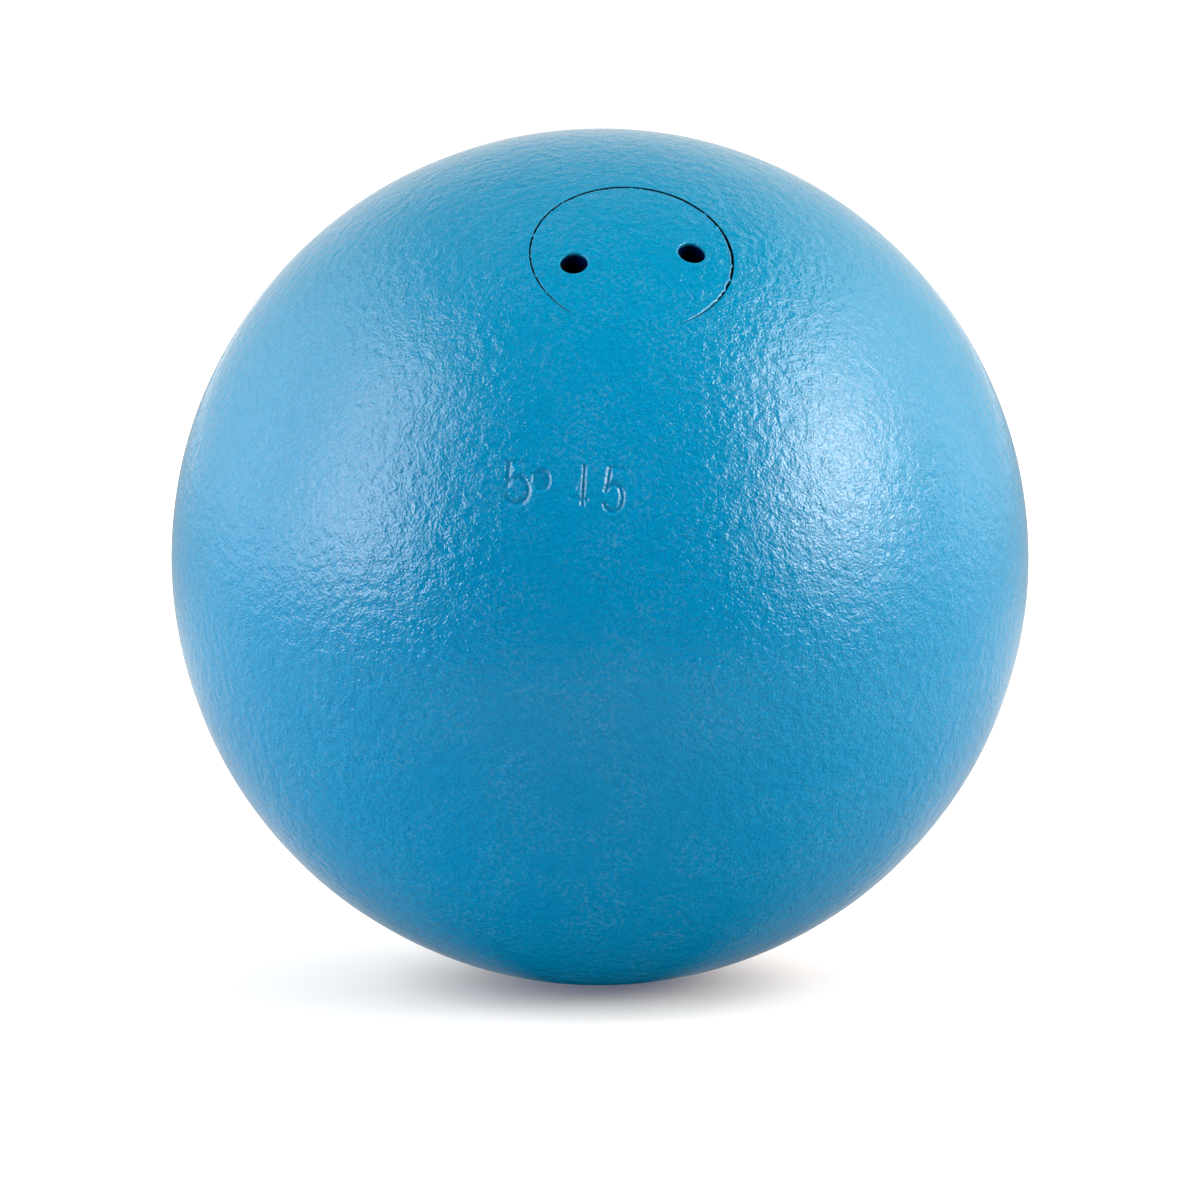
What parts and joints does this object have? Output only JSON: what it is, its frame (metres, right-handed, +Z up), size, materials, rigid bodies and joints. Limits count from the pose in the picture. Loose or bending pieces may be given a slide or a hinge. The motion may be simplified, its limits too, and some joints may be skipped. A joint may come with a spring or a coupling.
{
  "type": "shot put",
  "caption": "Round iron throwing ball with a screw plug, flush in its surface and turned by a pin spanner, that closes a bored chamber of lead shot, felt and a dowel.",
  "frame": {"origin": "centre of the ball", "axes": "+Z up as the ball stands in the picture, -Y its front; the plug's axis lies in the YZ plane, 40 degrees forward of +Z"},
  "size_m": [0.1146, 0.1145, 0.1145],
  "materials": {
    "enamelled_iron": "thick satin-gloss hammered blue enamel on grey cast iron",
    "enamelled_steel": "the same blue enamel over a steel plug, bare machined thread below the head",
    "lead": "dull grey cast lead shot",
    "felt": "pressed wool felt",
    "beech": "turned beech, bare"
  },
  "bodies": {
    "ball": {"cast_ball": "enamelled_iron", "spacer_dowel": "beech", "felt_wad": "felt", "lead_pellet_01": "lead", "lead_pellet_02": "lead", "lead_pellet_03": "lead", "lead_pellet_04": "lead", "lead_pellet_05": "lead", "lead_pellet_06": "lead", "lead_pellet_07": "lead", "lead_pellet_08": "lead", "lead_pellet_09": "lead", "lead_pellet_10": "lead", "lead_pellet_11": "lead", "lead_pellet_12": "lead", "lead_pellet_13": "lead", "lead_pellet_14": "lead", "lead_pellet_15": "lead", "lead_pellet_16": "lead", "lead_pellet_17": "lead", "lead_pellet_18": "lead", "lead_pellet_19": "lead", "lead_pellet_20": "lead", "lead_pellet_21": "lead", "lead_pellet_22": "lead", "lead_pellet_23": "lead", "lead_pellet_24": "lead", "lead_pellet_25": "lead", "lead_pellet_26": "lead", "lead_pellet_27": "lead", "lead_pellet_28": "lead", "lead_pellet_29": "lead", "lead_pellet_30": "lead", "lead_pellet_31": "lead", "lead_pellet_32": "lead", "lead_pellet_33": "lead", "lead_pellet_34": "lead", "lead_pellet_35": "lead", "lead_pellet_36": "lead"},
    "pad": {"felt_pad": "felt"},
    "plug": {"screw_plug": "enamelled_steel"}
  },
  "joints": [
    {"name": "plug_travel", "type": "slide", "parent": "ball", "child": "pad", "axis": [0, -0.6428, 0.766], "range_m": [0, 0.0125]},
    {"name": "plug_turn", "type": "hinge", "parent": "pad", "child": "plug", "pos_m": [0, 0, 0], "axis": [0, -0.6428, 0.766], "range_deg": [0, 1800]}
  ],
  "couplings": [
    {"joint": "plug_travel", "follows": "plug_turn", "m_per_rad": 0.00039789}
  ]
}
